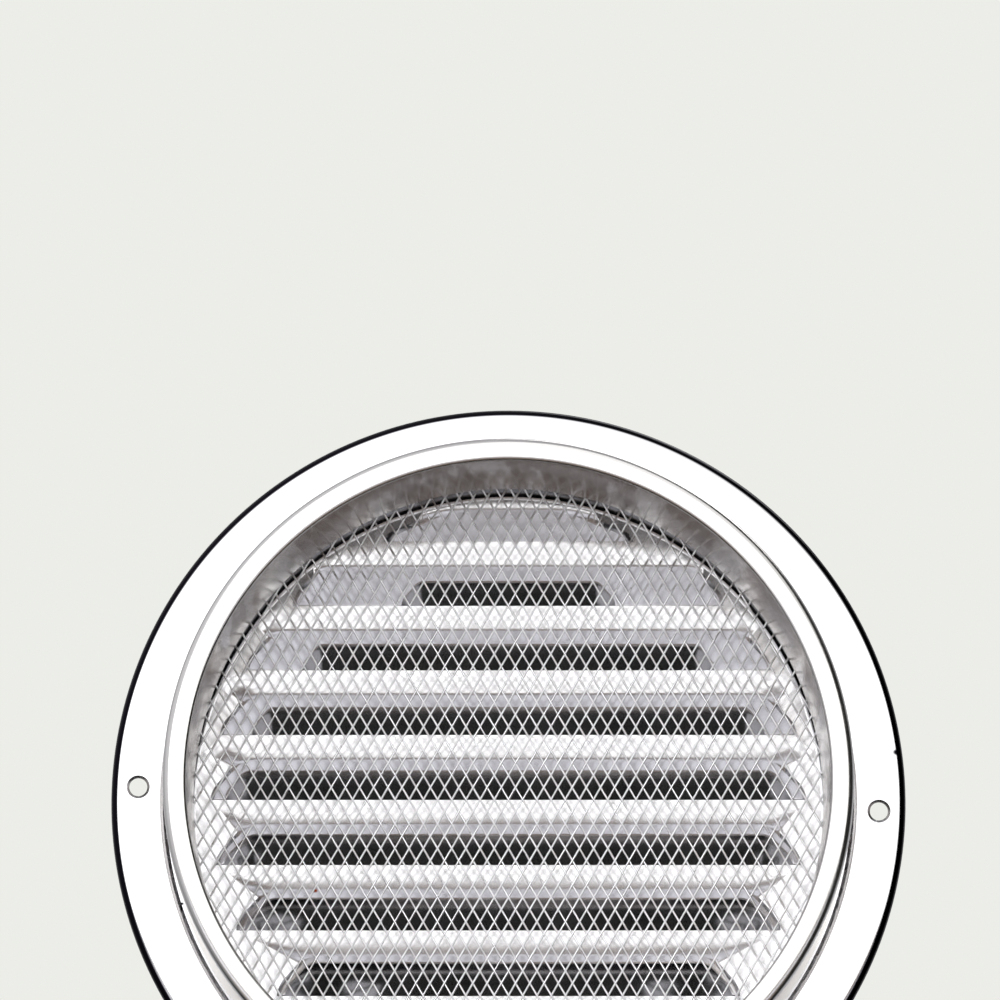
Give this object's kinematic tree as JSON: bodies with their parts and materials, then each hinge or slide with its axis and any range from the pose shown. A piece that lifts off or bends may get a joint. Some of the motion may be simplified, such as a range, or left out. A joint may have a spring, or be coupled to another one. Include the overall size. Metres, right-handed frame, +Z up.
{
  "type": "round vent cover",
  "caption": "Round steel wall vent: flanged cover with pressed rain louvres, insect mesh behind them and a short duct collar with a turned lip.",
  "frame": {"origin": "centre of the flange's back face, which meets the wall", "axes": "+Y out of the wall towards the louvres' hoods, +Z up with the louvres' mouths facing down, +X to the right as seen from inside the duct"},
  "size_m": [0.185, 0.0605, 0.185],
  "materials": {
    "pressed_steel": "bright annealed",
    "collar_steel": "bright annealed",
    "mesh_wire": "drawn wire"
  },
  "bodies": {
    "root": {"louvre_cover": "pressed_steel", "collar": "collar_steel", "insect_mesh": "mesh_wire"}
  },
  "joints": []
}
